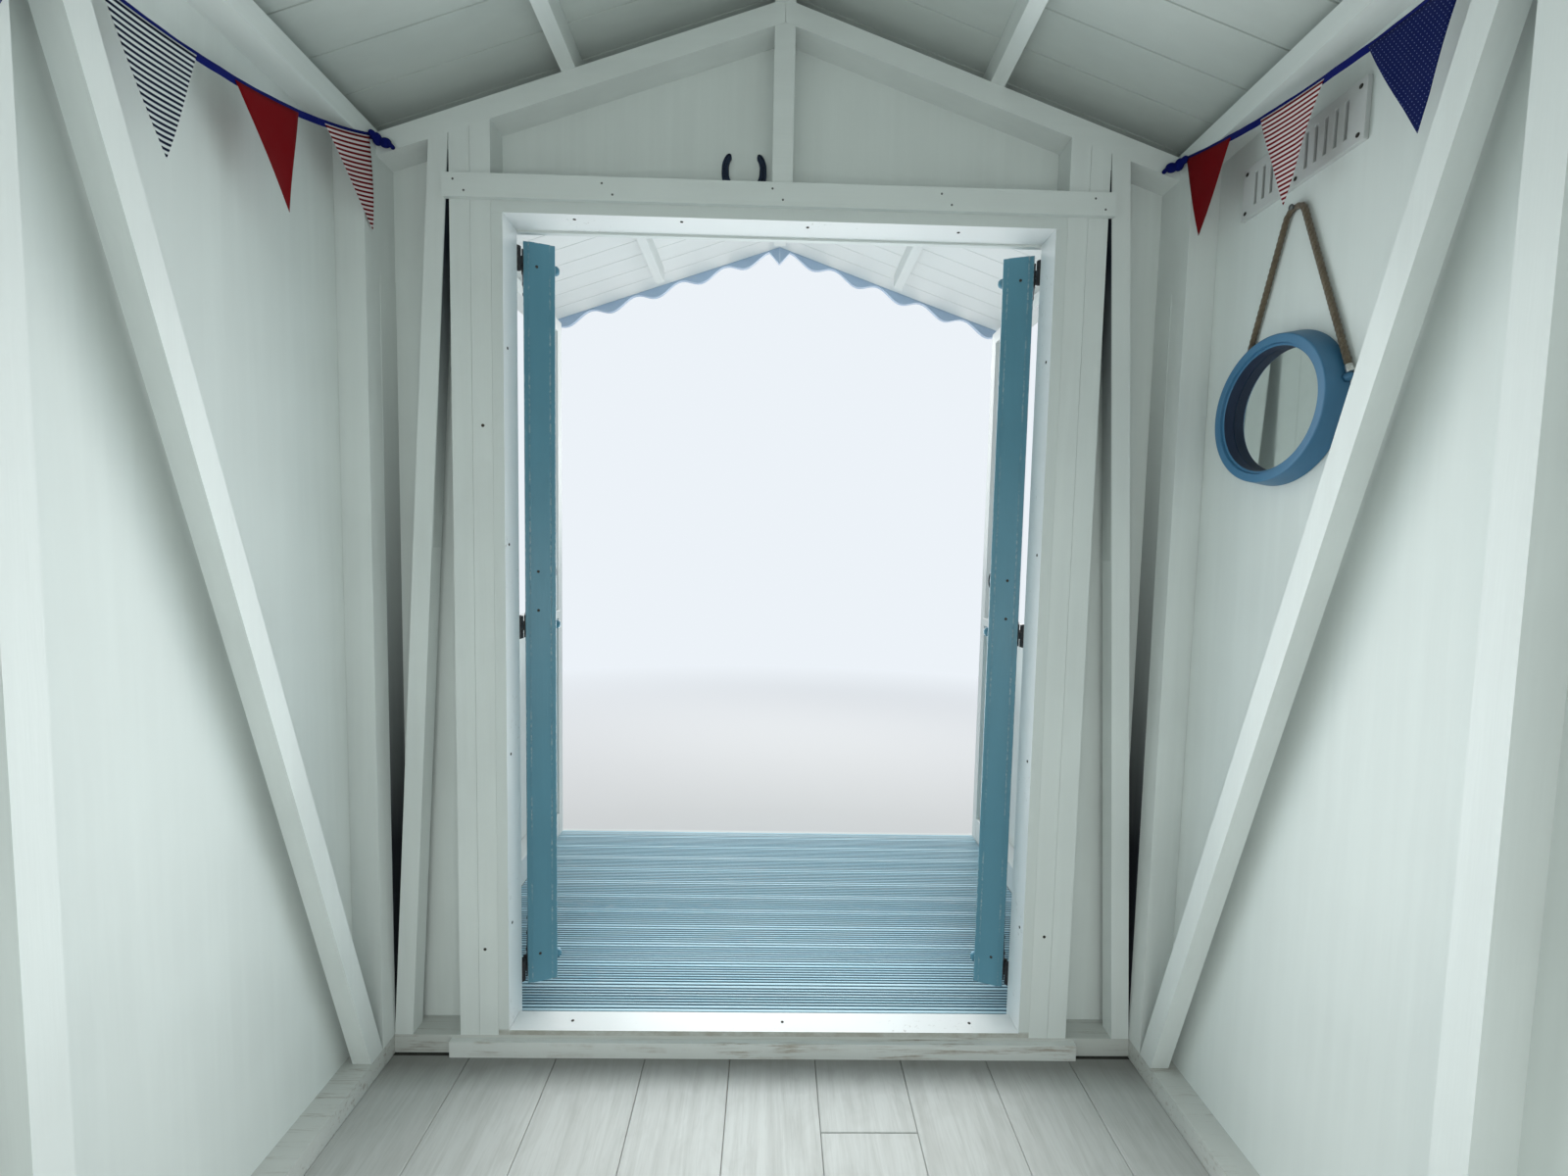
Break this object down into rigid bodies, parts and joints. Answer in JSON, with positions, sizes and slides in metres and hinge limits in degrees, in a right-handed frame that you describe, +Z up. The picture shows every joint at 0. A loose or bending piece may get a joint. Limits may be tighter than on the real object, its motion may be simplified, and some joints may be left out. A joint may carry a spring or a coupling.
{
  "type": "beach hut",
  "caption": "Timber beach hut with double doors that swing out onto a covered porch with boarded sides.",
  "frame": {"origin": "middle of the hut's footprint at ground level, under the middle of its bounding box", "axes": "+Z up; the porch front faces -Y; +X is to the right of someone facing the front from outside"},
  "size_m": [2.008, 3.51, 2.6758],
  "materials": {
    "base_timber": "weathered treated softwood",
    "floor_boards": "sawn softwood boards",
    "floor_planks": "pale limed plank floor, satin",
    "deck_paint": "grooved deck boards in worn blue paint",
    "white_paint": "planed softwood in white eggshell paint",
    "white_cladding": "white painted shiplap boards",
    "teal_paint": "teal-blue gloss paint, worn at the edges",
    "worn_board": "white painted board, stained and worn through in places",
    "barge_paint": "pale blue paint",
    "felt": "green-grey mineral roofing felt",
    "black_iron": "black japanned ironwork",
    "shoe_paint": "near-black navy paint on iron",
    "vent_plastic": "white moulded plastic",
    "mirror_rim": "blue painted turned wood",
    "mirror_glass": "silvered mirror glass",
    "jute": "natural jute rope",
    "flag_cloth": "printed cotton bunting"
  },
  "bodies": {
    "root": {"bearers": "base_timber", "floor_joists": "base_timber", "cabin_floor": "floor_boards", "floor_planks": "floor_planks", "porch_deck": "deck_paint", "deck_fascia": "white_paint", "sole_plates": "white_paint", "side_studs": "white_paint", "front_studs": "white_paint", "back_studs": "white_paint", "top_plates": "white_paint", "braces": "white_paint", "header_rail": "white_paint", "gable_frames": "white_paint", "purlins": "white_paint", "left_wall": "white_cladding", "right_wall": "white_cladding", "back_wall": "white_cladding", "front_wall_left": "white_cladding", "front_wall_right": "white_cladding", "front_gable": "white_cladding", "corner_boards": "white_paint", "door_lining": "white_paint", "doorway_trim": "white_paint", "threshold_board": "worn_board", "jamb_hinges": "black_iron", "roof_boards": "white_cladding", "roof_felt": "felt", "bargeboards": "barge_paint", "porch_posts": "white_paint", "porch_sides": "white_cladding", "vent": "vent_plastic", "mirror_rim": "mirror_rim", "mirror_glass": "mirror_glass", "mirror_rope": "jute", "horseshoe": "shoe_paint", "left_bunting": "flag_cloth", "right_bunting": "flag_cloth"},
    "left_door": {"left_door_frame": "teal_paint", "left_door_skins": "teal_paint", "left_door_ironwork": "black_iron", "left_door_handle": "black_iron"},
    "right_door": {"right_door_frame": "teal_paint", "right_door_skins": "teal_paint", "right_door_ironwork": "black_iron", "right_door_handle": "black_iron"}
  },
  "joints": [
    {"name": "left_door_swing", "type": "hinge", "parent": "root", "child": "left_door", "pos_m": [-0.612, -0.554, 1], "axis": [0, 0, -1], "range_deg": [-110, 4]},
    {"name": "right_door_swing", "type": "hinge", "parent": "root", "child": "right_door", "pos_m": [0.612, -0.554, 1], "axis": [0, 0, 1], "range_deg": [-110, 4]}
  ]
}
